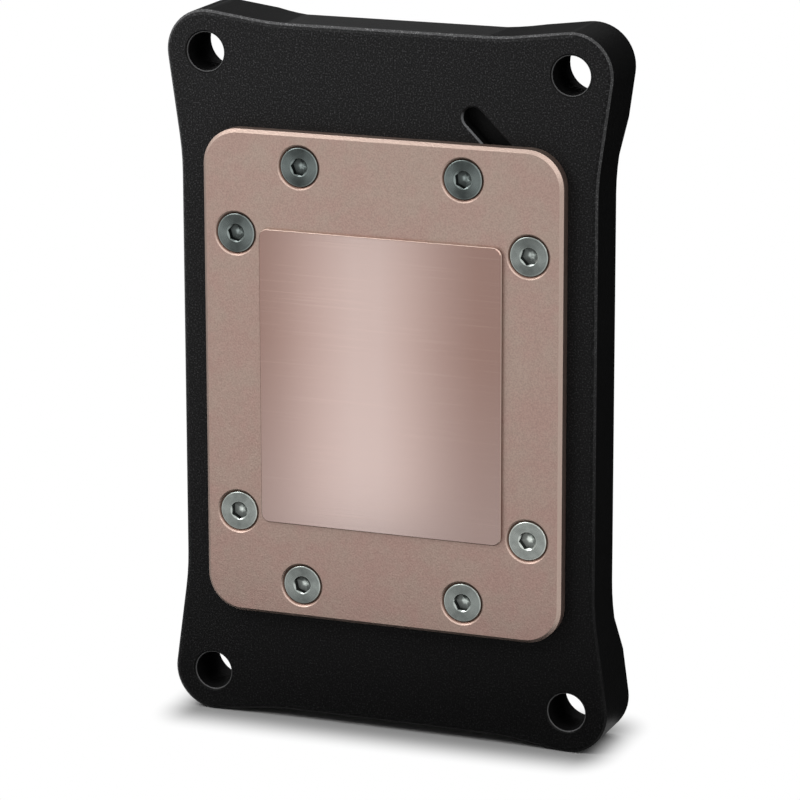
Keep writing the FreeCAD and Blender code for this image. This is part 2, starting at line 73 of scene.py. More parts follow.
MOUNTS = {mount["name"]: mount for mount in frame["record"]["mounts"]}
HOLE_SIZES = MOUNTS["corner_holes"]["dims"]
HOLE_ACROSS = HOLE_SIZES["spacing_x_mm"] / 2 * MM
HOLE_UP = HOLE_SIZES["spacing_y_mm"] / 2 * MM
HOLE_RADIUS = HOLE_SIZES["hole_r_mm"] * MM
CONTACT_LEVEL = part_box("cold_plate")[0].y
SCREW_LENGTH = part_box("plate_screw_1")[1].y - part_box("plate_screw_1")[0].y


def screw_place(number):
    """How far across and up a screw stands from the middle."""
    low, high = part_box("plate_screw_%d" % number)
    middle = (low + high) / 2
    return abs(middle.x), abs(middle.z)


END_SCREW = screw_place(1)
SIDE_SCREW = screw_place(3)

# Camera, as fitted to the photograph

PHOTO_SIZE = 800                    # pixels, both ways
VIEW_AZIMUTH = math.radians(21.29)
VIEW_ELEVATION = math.radians(14.54)
VIEW_ROLL = math.radians(0.12)
VIEW_DEPTH = 637.0 * MM             # from the camera to the object's origin, along the view
ORIGIN_PIXEL = (386.1, 383.2)       # where the object's origin shows
FOCAL_PIXELS = 4387.0
SENSOR_WIDTH = 36.0                 # millimetres, as the camera counts it

# Screws, M3 with a countersunk head and a hexagon socket

SCREW_COUNT = 8
HEX_ACROSS = 2.3 * MM
HEX_MOUTH = 2.74 * MM               # where the socket's lead-in meets the head's flat
HEX_LEAD_SLOPE = 0.75
HEX_DEPTH = 1.15 * MM
HEX_POINT = 0.35 * MM               # the drill point left under the hexagon
HEAD_RADIUS = 2.9 * MM
HEAD_ROUND = 0.16 * MM
HEAD_RIM = 0.30 * MM
SHANK_RADIUS = 1.47 * MM
THREAD_ROOT = 1.21 * MM
THREAD_PITCH = 0.5 * MM
SCREW_TIP = 0.35 * MM
SOCKET_RIM = 0.10 * MM              # the painted bright edge inside the socket's lead-in
MOUTH_RIM = 0.05 * MM               # and outside it
FLAT_RINGS = ((0.25, 1.0), (0.5, 1.0), (0.75, 1.0), (0.96, 1.0), (1.0, 1.7))   # how far out, painted light
RIM_BENDS = (22.5, 45.0, 67.5, 90.0)    # degrees, round the edge of the head
THREAD_START = 0.1 * MM             # past the neck under the head
TIP_TAPER = 0.2 * MM                # off the radius of the thread's root
SOCKET_TURNS = (8.0, 24.0, 14.0, 47.0, 30.0, 52.0, 18.0, 3.0)      # degrees
HEAD_TONES = (0.0, 0.0, 0.05, 0.4, 0.7, 1.0, 0.55, 0.6)     # from dark to pale steel

# Pipe threads of the two hose ports

PORT_PITCH = 1.337 * MM
PORT_CREST = 5.78 * MM              # the radius that the ridge reaches in to
RIDGE_HALF = 0.46 * PORT_PITCH      # half the ridge's width, at its foot
RIDGE_LEAST = 0.02 * MM             # what the ridge still stands where it runs out
RIDGE_SECTION = ((0.0, -1.0), (0.8, -0.16), (1.0, 0.0), (0.8, 0.16), (0.0, 1.0))
FADE_LEAST = 0.02

# Colours, in linear light. A pair holds the two ends of a pattern.

WHITE = (1.0, 1.0, 1.0)
BLACK = (0.0, 0.0, 0.0)
PLASTIC_BLASTED = ((0.0085, 0.0085, 0.0087), (0.046, 0.046, 0.047))
# paler cut plastic of the chamfers, brightened further as painted highlight
PLASTIC_CUT_AND_HIGHLIGHT = ((0.060, 0.060, 0.061), (0.180, 0.180, 0.181))
PLASTIC_WALL = (0.0050, 0.0050, 0.0051)
# painted shade on a hole's chamfer, then a painted highlight line at its edge
HOLE_SHADE_AND_HIGHLIGHT = ((0.004, 0.004, 0.004), (0.085, 0.085, 0.086))
# painted shade and painted highlight round the pry slot's rim
SLOT_SHADE_AND_HIGHLIGHT = ((0.010, 0.010, 0.010), (0.130, 0.133, 0.137))
COPPER_PALE = ((0.372, 0.284, 0.240), (0.378, 0.256, 0.222))
COPPER_DARK = ((0.300, 0.226, 0.190), (0.306, 0.203, 0.175))
# painted reflection band on the contact face, then darker to its sides
CONTACT_REFLECTION_BAND = ((0.345, 0.266, 0.244), (0.283, 0.180, 0.153))
# painted reflection, greyer towards the contact face's lower edge
CONTACT_GREY_REFLECTION = (0.430, 0.350, 0.330)
CONTACT_STREAK = (0.40, 0.30, 0.27)
# painted highlight on a countersink's lip, then painted shade in its cone
COUNTERSINK_HIGHLIGHT_AND_SHADE = ((0.470, 0.350, 0.300), (0.200, 0.125, 0.100))
# cut copper edges, paler as painted highlight
COPPER_EDGE_HIGHLIGHT = (0.460, 0.350, 0.300)
SCREW_GREY = ((0.088, 0.102, 0.099), (0.250, 0.268, 0.252))
SHEET_STEEL = ((0.50, 0.50, 0.50), (0.62, 0.62, 0.61))
RUBBER = ((0.016, 0.016, 0.017), (0.035, 0.034, 0.033))
PAPER_LIT = (0.8, 0.8, 0.8)
# paper seen directly: darker than the lit paper, as painted shadow round the foot
PAPER_SEEN_SHADOW = (0.35, 0.35, 0.35)

# Where the finishes change

NOISE_RANGE = (0.3, 0.7)            # noise seldom leaves it
WALL_TILT = (0.45, 0.55)            # the part of the normal along Y, either way
CHAMFER_LEAST_TILT = (0.55, 0.62)   # a 45 degree face has 0.71
CHAMFER_MOST_TILT = (0.79, 0.86)
FRONT_TILT = (-0.9, -0.8)
SUNK_DEPTHS = (0.7 * MM, 0.9 * MM)  # behind the front face
# Painted shade on the black plastic, darkest towards the lower right corner
SHADING_SLANT = (-0.4, 0.0, 1.0)      # towards where the painted shade is lightest
SHADING_ENDS = (-55 * MM, 50 * MM)
SHADING_SHARES = (0.28, 1.0)          # of the full colour, at those ends
HOLE_HIGHLIGHT_LINE = HOLE_RADIUS + 0.08 * MM     # outside of the painted highlight line round a hole
HOLE_MOUTH = HOLE_RADIUS + 0.45 * MM    # outside of the painted shade ring round that line
# Painted highlight on the pry slot's lower left rim
SLOT_MIDDLE = (15.5 * MM, 0.0, 38.0 * MM)
SLOT_REACH = 7.0 * MM
SLOT_TOWARDS = (0.7, 0.0, 0.7)      # the way its lower left side faces
SLOT_HIGHLIGHT_TILT = (0.2, 0.5)
CONTACT_SKIN = 0.04 * MM            # how far the brushed face reaches over its edge
PLATE_ENDS = (-34 * MM, 34 * MM)
BAND_ACROSS = -2.0 * MM             # middle of the painted reflection band on the contact face
BAND_ENDS = (2.0 * MM, 17.0 * MM)   # from its middle to where it has faded
GREY_ENDS = (6 * MM, -20 * MM)      # heights on the contact face, from plain to greyest painted reflection
CONE_RADIUS = 3.14 * MM             # of the painted shade in a countersink
COUNTERSINK_REACH = 3.5 * MM

# Studio

FLOOR_LEVEL = CAD_BOX[0].z
FLOOR_HALF = 4.0
CARD_LEVEL = FLOOR_LEVEL + 0.5 * MM
SKY_SCATTERED = 0.25                # of white, as light on the object
SHADOW_REACH = 10.5 * MM            # in front of the object's foot
SIDE_FADE = 1.5                     # how much sooner the shadow ends at the sides
SIDE_INSET = 4.0 * MM


# Meshes

def make_mesh(name, points, faces, crease=30.0):
    """An object from points and faces, smooth but for edges that fold past crease degrees."""
    mesh = bpy.data.meshes.new(name)
    mesh.from_pydata(points.tolist(), [], faces.tolist())
    mesh.update()
    mesh.polygons.foreach_set("use_smooth", np.ones(len(mesh.polygons), dtype=bool))
    mesh.set_sharp_from_angle(angle=math.radians(crease))
    piece = bpy.data.objects.new(name, mesh)
    bpy.context.scene.collection.objects.link(piece)
    return piece


def grid_faces(rows, columns):
    """Quads between neighbouring points of a grid that closes round its columns."""
    row, column = np.meshgrid(np.arange(rows - 1), np.arange(columns), indexing="ij")
    following = (column + 1) % columns
    corners = [
        row * columns + column,
        row * columns + following,
        (row + 1) * columns + following,
        (row + 1) * columns + column,
    ]
    return np.stack(corners, axis=-1).reshape(-1, 4)


def set_value(piece, name, values):
    """A named value for each point, for the materials."""
    attribute = piece.data.attributes.new(name, "FLOAT", "POINT")
    attribute.data.foreach_set("value", np.asarray(values, dtype=np.float32))


def merge_poles(piece):
    """Joins the points that lie on one place, so that poles are closed."""
    mesh = bmesh.new()
    mesh.from_mesh(piece.data)
    bmesh.ops.remove_doubles(mesh, verts=mesh.verts, dist=1e-7)
    bmesh.ops.dissolve_degenerate(mesh, edges=mesh.edges, dist=1e-8)
    mesh.to_mesh(piece.data)
    mesh.free()


def close_ends(piece):
    """Fills the open ends of a carried section and turns every face outwards."""
    mesh = bmesh.new()
    mesh.from_mesh(piece.data)
    bmesh.ops.holes_fill(mesh, edges=mesh.edges, sides=0)
    bmesh.ops.recalc_face_normals(mesh, faces=mesh.faces)
    mesh.to_mesh(piece.data)
    mesh.free()


# Screws

def hexagon_radius(angle, across):
    """Distance from a hexagon's centre to its edge: half its width over the cosine of the
    angle from the nearest flat's middle, with a corner at angle zero."""
    from_flat = np.mod(angle, math.pi / 3) - math.pi / 6
    return across / 2 / np.cos(from_flat)


def screw_surface(turn):
    """Rings of radius and depth from the socket's point out over the head and down the thread.

    Every ring has one radius and one depth for each angle. In the socket they follow the
    hexagon, whose mouth is cut by a cone, so the lead-in dips at the middle of each flat.
    On the thread the radius is a triangle wave of depth over pitch less angle over a turn.
    The third number of a ring is its painted light, a share of the head's colour: painted
    highlights on the socket's point and lead-in and on the head's edges, painted shade on the
    socket's walls.
    """
    angle = np.arange(ROUND_STEPS) * (2 * math.pi / ROUND_STEPS)
    ones = np.ones(ROUND_STEPS)
    hexagon = hexagon_radius(angle, HEX_ACROSS)
    lead = (HEX_MOUTH / 2 - hexagon) * HEX_LEAD_SLOPE
    rings = [
        # Painted highlights and painted shade, as shares of the head's colour
        (0 * ones, (HEX_DEPTH + HEX_POINT) * ones, 3.0),
        (0.3 * hexagon, (HEX_DEPTH + 0.7 * HEX_POINT) * ones, 2.6),
        (0.5 * hexagon, (HEX_DEPTH + HEX_POINT / 2) * ones, 0.7),
        (hexagon, HEX_DEPTH * ones, 0.35),
        (hexagon, lead + SOCKET_RIM, 0.6),
        (hexagon, lead, 2.0),
        (HEX_MOUTH / 2 * ones, 0 * ones, 2.0),
        ((HEX_MOUTH / 2 + MOUTH_RIM) * ones, 0 * ones, 1.0),
    ]
    flat_end = HEAD_RADIUS - HEAD_ROUND
    for share, glint in FLAT_RINGS:
        radius = HEX_MOUTH / 2 + (flat_end - HEX_MOUTH / 2) * share
        rings.append((radius * ones, 0 * ones, glint))
    for bend in np.radians(RIM_BENDS):
        radius = flat_end + HEAD_ROUND * math.sin(bend)
        rings.append((radius * ones, HEAD_ROUND * (1 - math.cos(bend)) * ones, 2.0))
    rings.append((HEAD_RADIUS * ones, HEAD_RIM * ones, 1.0))
    neck = HEAD_RIM + HEAD_RADIUS - SHANK_RADIUS
    rings.append((SHANK_RADIUS * ones, neck * ones, 1.0))
    end = SCREW_LENGTH - SCREW_TIP
    for depth in np.arange(neck + THREAD_START, end, THREAD_PITCH / 4):
        wave = np.abs(np.mod(depth / THREAD_PITCH - angle / (2 * math.pi), 1.0) * 2 - 1)
        run_in = min(1.0, (depth - neck) / THREAD_PITCH)
        cut = (SHANK_RADIUS - THREAD_ROOT) * run_in
        rings.append((SHANK_RADIUS - cut * wave, depth * ones, 1.0))
    rings.append((THREAD_ROOT * ones, end * ones, 1.0))
    rings.append(((THREAD_ROOT - TIP_TAPER) * ones, SCREW_LENGTH * ones, 1.0))
    rings.append((0 * ones, SCREW_LENGTH * ones, 1.0))
    radius = np.array([ring[0] for ring in rings])
    depth = np.array([ring[1] for ring in rings])
    painted_light = np.array([ring[2] for ring in rings])
    heading = angle[None, :] + math.radians(turn)
    return radius, depth, heading, painted_light


def make_screw(number):
    """A detailed screw where the solid one is, with the same head and length.

    Its socket is as wide as the photographed ones show, with a turned lead-in.
    """
    node = "plate_screw_%d" % number
    low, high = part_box(node)
    centre = (low + high) / 2
    radius, depth, heading, painted_light = screw_surface(SOCKET_TURNS[number - 1])
    points = np.stack([
        centre.x + radius * np.cos(heading),
        low.y + depth,
        centre.z - radius * np.sin(heading),
    ], axis=-1)
    rows, columns = radius.shape
    piece = make_mesh("screw_%d" % number, points.reshape(-1, 3), grid_faces(rows, columns))
    set_value(piece, "painted_light", np.repeat(painted_light, columns))
    set_value(piece, "tone", np.full(rows * columns, HEAD_TONES[number - 1]))
    set_value(piece, "away", (radius / HEAD_RADIUS).ravel())
    # painted sheen pattern: palest left and right of each head, darkest above and below
    set_value(piece, "painted_sheen_pattern", np.broadcast_to(np.cos(2 * heading), radius.shape).ravel())
    merge_poles(piece)
    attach(piece, "root")
    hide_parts(node)
    return piece


# Port threads

def make_port_thread(name, port):
    """The ridge of an inside pipe thread: a rounded triangle carried along a helix.

    Its five-point section stands on the bore's wall. Over half a turn at both ends the
    ridge shrinks to the wall and to half its width, so that it runs in and out.
    """
    across, middle, up = port["pos_m"]
    bore = port["dims"]["r_mm"] * MM
    length = port["dims"]["length_mm"] * MM
    turns = (length - PORT_PITCH) / PORT_PITCH
    steps = int(ROUND_STEPS * turns)
    along = np.linspace(0, turns, steps)
    fade = np.clip(np.minimum(along, turns - along) * 2, FADE_LEAST, 1)
    height = (bore - RIDGE_LEAST - PORT_CREST) * fade
    angle = along * 2 * math.pi
    level = middle - length / 2 + PORT_PITCH / 2 + along * PORT_PITCH
    columns = []
    for share, aside in RIDGE_SECTION:
        radius = bore - (RIDGE_LEAST + height * share) * (share > 0)
        columns.append(np.stack([
            across + radius * np.cos(angle),
            level + aside * RIDGE_HALF * (0.5 + 0.5 * fade),
            up + radius * np.sin(angle),
        ], axis=-1))
    points = np.stack(columns, axis=1).reshape(-1, 3)
    piece = make_mesh(name, points, grid_faces(steps, len(RIDGE_SECTION)))
    close_ends(piece)
    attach(piece, "root")
    return piece


# Shader nodes

def add_node(tree, kind, inputs=(), **settings):
    """A node with its settings and input values, each value a plain one or another's output."""
    node = tree.nodes.new(kind)
    for setting, value in settings.items():
        setattr(node, setting, value)
    for key, value in dict(inputs).items():
        feed(tree, node.inputs[key], value)
    return node


def feed(tree, socket, value):
    """Gives a socket another's output, a colour without its alpha, or a plain value."""
    if isinstance(value, bpy.types.NodeSocket):
        tree.links.new(value, socket)
    elif socket.type == "RGBA":
        socket.default_value = (*value, 1.0)
    else:
        socket.default_value = value


def scaled_noise(tree, vector, scale=1.0, detail=2.0, roughness=0.5):
    """Noise over a vector times a scale, as a value about one half."""
    return add_node(tree, "ShaderNodeTexNoise", {
        "Vector": vector, "Scale": scale, "Detail": detail, "Roughness": roughness,
    }).outputs["Fac"]


def stretched(tree, vector, scale):
    """A vector with each axis multiplied by its own number."""
    return add_node(tree, "ShaderNodeMapping", {"Vector": vector, "Scale": scale}).outputs[0]


def vector_math(tree, operation, first, second=(0.0, 0.0, 0.0)):
    """The outputs of one operation on two vectors: a "Vector" for some, a "Value" for others."""
    inputs = {0: first, 1: second}
    return add_node(tree, "ShaderNodeVectorMath", inputs, operation=operation).outputs


def value_between(tree, value, ends, results=(0.0, 1.0)):
    """A value mapped from between two ends to between two results, and held there."""
    return add_node(tree, "ShaderNodeMapRange", {
        "Value": value, "From Min": ends[0], "From Max": ends[1],
        "To Min": results[0], "To Max": results[1],
    }).outputs[0]


def from_noise(tree, noise, results):
    """Noise mapped so that it runs between two results."""
    return value_between(tree, noise, NOISE_RANGE, results)


def within(tree, distance, reach, blur):
    """One up to a reach, and nought past it and a soft edge."""
    return value_between(tree, distance, (reach, reach + blur), (1.0, 0.0))


def computed(tree, operation, first, second=0.0):
    """One sum, product or other operation on two values."""
    return add_node(tree, "ShaderNodeMath", {0: first, 1: second}, operation=operation).outputs[0]


def mixed_value(tree, factor, first, second):
    """A value between two, by a factor."""
    return add_node(tree, "ShaderNodeMix", {0: factor, 2: first, 3: second}).outputs[0]


def mixed_colour(tree, factor, first, second):
    """A colour between two, by a factor."""
    mix = add_node(tree, "ShaderNodeMix", {0: factor, 6: first, 7: second}, data_type="RGBA")
    return mix.outputs[2]


def scaled_colour(tree, colour, share):
    """A colour times a value."""
    scaled = add_node(tree, "ShaderNodeVectorMath", {0: colour, 3: share}, operation="SCALE")
    return scaled.outputs[0]


def folded_distance(tree, place, across, up):
    """Distance from the nearest of four axes along Y: the length of (|x| - across, |z| - up)."""
    folded = vector_math(tree, "ABSOLUTE", place)["Vector"]
    offset = vector_math(tree, "SUBTRACT", folded, (across, 0.0, up))["Vector"]
    return vector_math(tree, "LENGTH", stretched(tree, offset, (1, 0, 1)))["Value"]


def new_group(name, inputs, outputs):
    """An empty node group with named sockets, and its input and output nodes."""
    group = bpy.data.node_groups.new(name, "ShaderNodeTree")
    for socket, kind, value in inputs:
        made = group.interface.new_socket(socket, in_out="INPUT", socket_type="NodeSocket" + kind)
        if value is not None:
            made.default_value = value
    for socket, kind in outputs:
        group.interface.new_socket(socket, in_out="OUTPUT", socket_type="NodeSocket" + kind)
    return group, group.nodes.new("NodeGroupInput"), group.nodes.new("NodeGroupOutput")


def place_group(tree, group, inputs):
    """The outputs of a node group placed in a material with its own values."""
    node = tree.nodes.new("ShaderNodeGroup")
    node.node_tree = group
    for key, value in inputs.items():
        feed(tree, node.inputs[key], value)
    return node.outputs


def blasted_grain_group():
    """Grain of a bead-blasted face: small dimples of one size, and a slow drift of tone."""
    group, given, result = new_group(
        "blasted_grain",
        [("Vector", "Vector", None), ("Grain", "Float", 2500.0), ("Drift", "Float", 150.0)],
        [("Height", "Float"), ("Speck", "Float"), ("Tone", "Float")],
    )
    vector = given.outputs["Vector"]
    dimples = add_node(group, "ShaderNodeTexVoronoi", {
        "Vector": vector, "Scale": given.outputs["Grain"], "Randomness": 1.0,
    }, feature="SMOOTH_F1").outputs["Distance"]
    fine = scaled_noise(group, vector, given.outputs["Grain"], detail=3.0, roughness=0.6)
    slow = scaled_noise(group, vector, given.outputs["Drift"], detail=4.0, roughness=0.6)
    group.links.new(computed(group, "ADD", dimples, fine), result.inputs["Height"])
    speck = value_between(group, fine, (0.35, 0.65))
    group.links.new(speck, result.inputs["Speck"])
    group.links.new(slow, result.inputs["Tone"])
    return group


def brushed_lines_group():
    """Fine parallel lines along X: noise drawn out along the lines, at two spacings."""
    group, given, result = new_group(
        "brushed_lines",
        [("Vector", "Vector", None)],
        [("Height", "Float"), ("Streak", "Float")],
    )
    vector = given.outputs["Vector"]
    hair = scaled_noise(group, stretched(group, vector, (110, 110, 9000)))
    line = scaled_noise(group, stretched(group, vector, (60, 60, 3200)), detail=3.0)
    group.links.new(computed(group, "ADD", hair, line), result.inputs["Height"])
    scarce = value_between(group, line, (0.56, 0.72))
    group.links.new(scarce, result.inputs["Streak"])
    return group


def milled_edge_group():
    """Tells faces by their slant: 45 degree chamfers, walls along Y, and faces towards -Y."""
    group, given, result = new_group(
        "milled_edge",
        [("Normal", "Vector", None)],
        [("Chamfer", "Float"), ("Wall", "Float"), ("Front", "Float")],
    )
    parts = add_node(group, "ShaderNodeSeparateXYZ", {"Vector": given.outputs["Normal"]})
    tilt = computed(group, "ABSOLUTE", parts.outputs["Y"])
    rising = value_between(group, tilt, CHAMFER_LEAST_TILT)
    falling = value_between(group, tilt, CHAMFER_MOST_TILT, (1.0, 0.0))
    group.links.new(computed(group, "MULTIPLY", rising, falling), result.inputs["Chamfer"])
    wall = value_between(group, tilt, WALL_TILT, (1.0, 0.0))
    group.links.new(wall, result.inputs["Wall"])
    front = value_between(group, parts.outputs["Y"], FRONT_TILT, (1.0, 0.0))
    group.links.new(front, result.inputs["Front"])
    return group


# Materials

def emptied_tree(owner):
    """The node tree of a material or the world, without the nodes that it starts with."""
    owner.use_nodes = True
    owner.node_tree.nodes.clear()
    return owner.node_tree


def new_material(name):
    """A material whose tree holds its Principled shader alone."""
    material = bpy.data.materials.new(name)
    tree = emptied_tree(material)
    shader = add_node(tree, "ShaderNodeBsdfPrincipled")
    add_node(tree, "ShaderNodeOutputMaterial", {"Surface": shader.outputs[0]})
    return material, tree, shader


def coordinates(tree):
    """Places and normals in the object's own frame."""
    return tree.nodes.new("ShaderNodeTexCoord").outputs


def set_bump(tree, shader, height, distance):
    """Feeds a height into the shader's normal."""
    bump = add_node(tree, "ShaderNodeBump", {"Height": height, "Distance": distance})
    tree.links.new(bump.outputs[0], shader.inputs["Normal"])


def slot_rim_painted_light(tree, place, cut):
    """The chamfers' colour, but round the pry slot a painted highlight on its lower left side alone
    and painted shade on the rest.

    That side is told by the normal's part along SLOT_TOWARDS, near the slot's middle.
    """
    towards = vector_math(tree, "DOT_PRODUCT", place["Normal"], SLOT_TOWARDS)["Value"]
    highlighted = value_between(tree, towards, SLOT_HIGHLIGHT_TILT)
    away = vector_math(tree, "DISTANCE", place["Object"], SLOT_MIDDLE)["Value"]
    near = within(tree, away, SLOT_REACH, blur=0.5 * MM)
    return mixed_colour(tree, near, cut, mixed_colour(tree, highlighted, *SLOT_SHADE_AND_HIGHLIGHT))


def acetal_material(grain, milled):
    """Black plastic: blasted faces, dark smooth walls, and paler chamfers cut after the faces were
    blasted, brightened further as painted highlight.

    Painted shade darkens the plastic towards the lower right corner, and the chamfers most:
    its share follows the place along a slant towards the upper left. Faces sunk into the front,
    such as the pry slot's floor, are as dark as the walls.
    """
    material, tree, shader = new_material("acetal")
    place = coordinates(tree)
    surface = place_group(tree, grain, {"Vector": place["Object"], "Grain": 4300.0, "Drift": 60.0})
    edge = place_group(tree, milled, {"Normal": place["Normal"]})
    depth = add_node(tree, "ShaderNodeSeparateXYZ", {"Vector": place["Object"]}).outputs["Y"]
    below = value_between(tree, depth, SUNK_DEPTHS)
    sunk = computed(tree, "MULTIPLY", below, edge["Front"])
    wall = computed(tree, "MAXIMUM", sunk, edge["Wall"])

    speck = computed(tree, "POWER", surface["Speck"], 4.0)
    # Painted shade: darker towards the lower right corner, on the chamfers most
    slant = vector_math(tree, "DOT_PRODUCT", place["Object"], SHADING_SLANT)["Value"]
    painted_shading = value_between(tree, slant, SHADING_ENDS, SHADING_SHARES)
    face = scaled_colour(tree, mixed_colour(tree, speck, *PLASTIC_BLASTED), painted_shading)
    edge_shading = computed(tree, "POWER", painted_shading, 2.0)
    cut = scaled_colour(tree, mixed_colour(tree, speck, *PLASTIC_CUT_AND_HIGHLIGHT), edge_shading)

    # Painted shade on each hole's chamfer, with a painted highlight line at its edge
    away = folded_distance(tree, place["Object"], HOLE_ACROSS, HOLE_UP)
    mouth = within(tree, away, HOLE_MOUTH, blur=0.10 * MM)
    line = within(tree, away, HOLE_HIGHLIGHT_LINE, blur=0.06 * MM)
    cut = mixed_colour(tree, mouth, cut, mixed_colour(tree, line, *HOLE_SHADE_AND_HIGHLIGHT))
    cut = slot_rim_painted_light(tree, place, cut)
    faces = mixed_colour(tree, edge["Chamfer"], face, cut)
    feed(tree, shader.inputs["Base Color"], mixed_colour(tree, wall, faces, PLASTIC_WALL))

    blasted = from_noise(tree, surface["Tone"], (0.42, 0.50))
    feed(tree, shader.inputs["Roughness"], mixed_value(tree, edge["Chamfer"], blasted, 0.32))
    feed(tree, shader.inputs["Specular IOR Level"], 0.05)
    relief = mixed_value(tree, edge["Chamfer"], 1.0, 0.2)
    set_bump(tree, shader, computed(tree, "MULTIPLY", surface["Height"], relief), 0.022 * MM)
    return material


def copper_material(grain, brushed, milled):
    """Bead-blasted copper with a finely brushed contact face and smooth cut edges, painted paler as
    painted highlight.

    The contact face has a painted reflection: palest in an upright band left of its middle, and
    greyer towards its lower edge. A countersink has painted shade in its cone and a painted
    highlight on its lip.
    """
    material, tree, shader = new_material("copper")
    place = coordinates(tree)
    parts = add_node(tree, "ShaderNodeSeparateXYZ", {"Vector": place["Object"]}).outputs
    across, depth, level = parts["X"], parts["Y"], parts["Z"]
    contact = within(tree, depth, CONTACT_LEVEL + CONTACT_SKIN, blur=0.04 * MM)
    surface = place_group(tree, grain, {"Vector": place["Object"], "Grain": 4200.0, "Drift": 260.0})
    lines = place_group(tree, brushed, {"Vector": place["Object"]})
    slanted = place_group(tree, milled, {"Normal": place["Normal"]})["Chamfer"]

    mottled = value_between(tree, surface["Tone"], (0.38, 0.62), (0.0, 0.65))
    lower = value_between(tree, level, PLATE_ENDS, (0.35, 0.0))
    drift = computed(tree, "ADD", mottled, lower)
    pale = mixed_colour(tree, drift, *COPPER_PALE)
    dark = mixed_colour(tree, drift, *COPPER_DARK)
    blasted = mixed_colour(tree, surface["Speck"], dark, pale)

    # Painted reflection: a pale upright band, darker to its sides, greyer towards the lower edge
    aside = computed(tree, "ABSOLUTE", computed(tree, "SUBTRACT", across, BAND_ACROSS))
    off_band = value_between(tree, aside, BAND_ENDS)
    painted_reflection = mixed_colour(tree, off_band, *CONTACT_REFLECTION_BAND)
    greyer = value_between(tree, level, GREY_ENDS, (0.0, 0.40))
    painted_reflection = mixed_colour(tree, greyer, painted_reflection, CONTACT_GREY_REFLECTION)
    streak = computed(tree, "MULTIPLY", lines["Streak"], 0.20)
    face = mixed_colour(tree, streak, painted_reflection, CONTACT_STREAK)

    # Painted shade in each countersink's cone and a painted highlight on its lip
    sunk = computed(
        tree, "MINIMUM",
        folded_distance(tree, place["Object"], *END_SCREW),
        folded_distance(tree, place["Object"], *SIDE_SCREW),
    )
    countersunk = within(tree, sunk, COUNTERSINK_REACH, blur=0.10 * MM)
    cone = within(tree, sunk, CONE_RADIUS, blur=0.06 * MM)
    ring = mixed_colour(tree, cone, *COUNTERSINK_HIGHLIGHT_AND_SHADE)
    edge = mixed_colour(tree, countersunk, COPPER_EDGE_HIGHLIGHT, ring)
    # Cut edges take the painted highlight colours
    cut = mixed_colour(tree, slanted, blasted, edge)
    feed(tree, shader.inputs["Base Color"], mixed_colour(tree, contact, cut, face))

    feed(tree, shader.inputs["Roughness"], mixed_value(tree, contact, 0.50, 0.19))
    feed(tree, shader.inputs["Metallic"], 1.0)

    dimpled = add_node(tree, "ShaderNodeBump", {
        "Height": surface["Height"], "Distance": 0.018 * MM,
    }).outputs[0]
    scratched = add_node(tree, "ShaderNodeBump", {
        "Height": lines["Height"], "Distance": 0.0020 * MM,
    }).outputs[0]
    normal = add_node(tree, "ShaderNodeMix", {
        0: contact, 4: dimpled, 5: scratched,
    }, data_type="VECTOR").outputs[1]
    feed(tree, shader.inputs["Normal"], normal)
    return material


def screw_material():
    """Grey turned steel, with a painted bow-tie reflection that lies level across the darker heads,
    and painted light on its rings.
    """
    material, tree, shader = new_material("screw_steel")
    named = {
        name: add_node(tree, "ShaderNodeAttribute", attribute_name=name).outputs["Fac"]
        for name in ("painted_light", "tone", "away", "painted_sheen_pattern")
    }
    rings = scaled_noise(tree, computed(tree, "MULTIPLY", named["away"], 60.0), detail=3.0)
    haze = scaled_noise(tree, coordinates(tree)["Object"], 900.0, detail=3.0)
    colour = mixed_colour(tree, named["tone"], *SCREW_GREY)
    painted_sheen = value_between(tree, named["tone"], (0.0, 1.0), (0.45, 0.05))
    # Painted reflection: paler left and right of each head, times the rings' painted light
    level = add_node(tree, "ShaderNodeMath", {
        0: named["painted_sheen_pattern"], 1: painted_sheen, 2: from_noise(tree, haze, (0.85, 1.15)),
    }, operation="MULTIPLY_ADD").outputs[0]
    share = computed(tree, "MULTIPLY", level, named["painted_light"])
    feed(tree, shader.inputs["Base Color"], scaled_colour(tree, colour, share))
    feed(tree, shader.inputs["Roughness"], from_noise(tree, rings, (0.24, 0.34)))
    feed(tree, shader.inputs["Metallic"], 1.0)
    set_bump(tree, shader, rings, 0.004 * MM)
    return material


def sheet_steel_material():
    """Rolled stainless sheet of the jet plate."""
    material, tree, shader = new_material("jet_steel")
    lengthwise = stretched(tree, coordinates(tree)["Object"], (60, 60, 3000))
    rolled = scaled_noise(tree, lengthwise, detail=3.0)
    feed(tree, shader.inputs["Base Color"], mixed_colour(tree, rolled, *SHEET_STEEL))
    feed(tree, shader.inputs["Roughness"], from_noise(tree, rolled, (0.28, 0.4)))
    feed(tree, shader.inputs["Metallic"], 1.0)
    set_bump(tree, shader, rolled, 0.004 * MM)
    return material


def rubber_material():
    """Black sealing rubber with a dusty bloom."""
    material, tree, shader = new_material("seal_rubber")
    bloom = scaled_noise(tree, coordinates(tree)["Object"], 700.0, detail=4.0)
    feed(tree, shader.inputs["Base Color"], mixed_colour(tree, bloom, *RUBBER))
    feed(tree, shader.inputs["Roughness"], from_noise(tree, bloom, (0.55, 0.75)))
    set_bump(tree, shader, bloom, 0.01 * MM)
    return material


def dress(piece, material):
    """One material for the whole piece."""
    if not piece.material_slots:
        piece.data.materials.append(material)
    for slot in piece.material_slots:
        slot.material = material


# Floor, cards and world

def seen_directly(tree):
    """One for rays from the camera, a mirror or glass, and nought for scattered light."""
    path = tree.nodes.new("ShaderNodeLightPath").outputs
    seen = computed(tree, "MAXIMUM", path["Is Camera Ray"], path["Is Glossy Ray"])
    return computed(tree, "MAXIMUM", seen, path["Is Transmission Ray"])


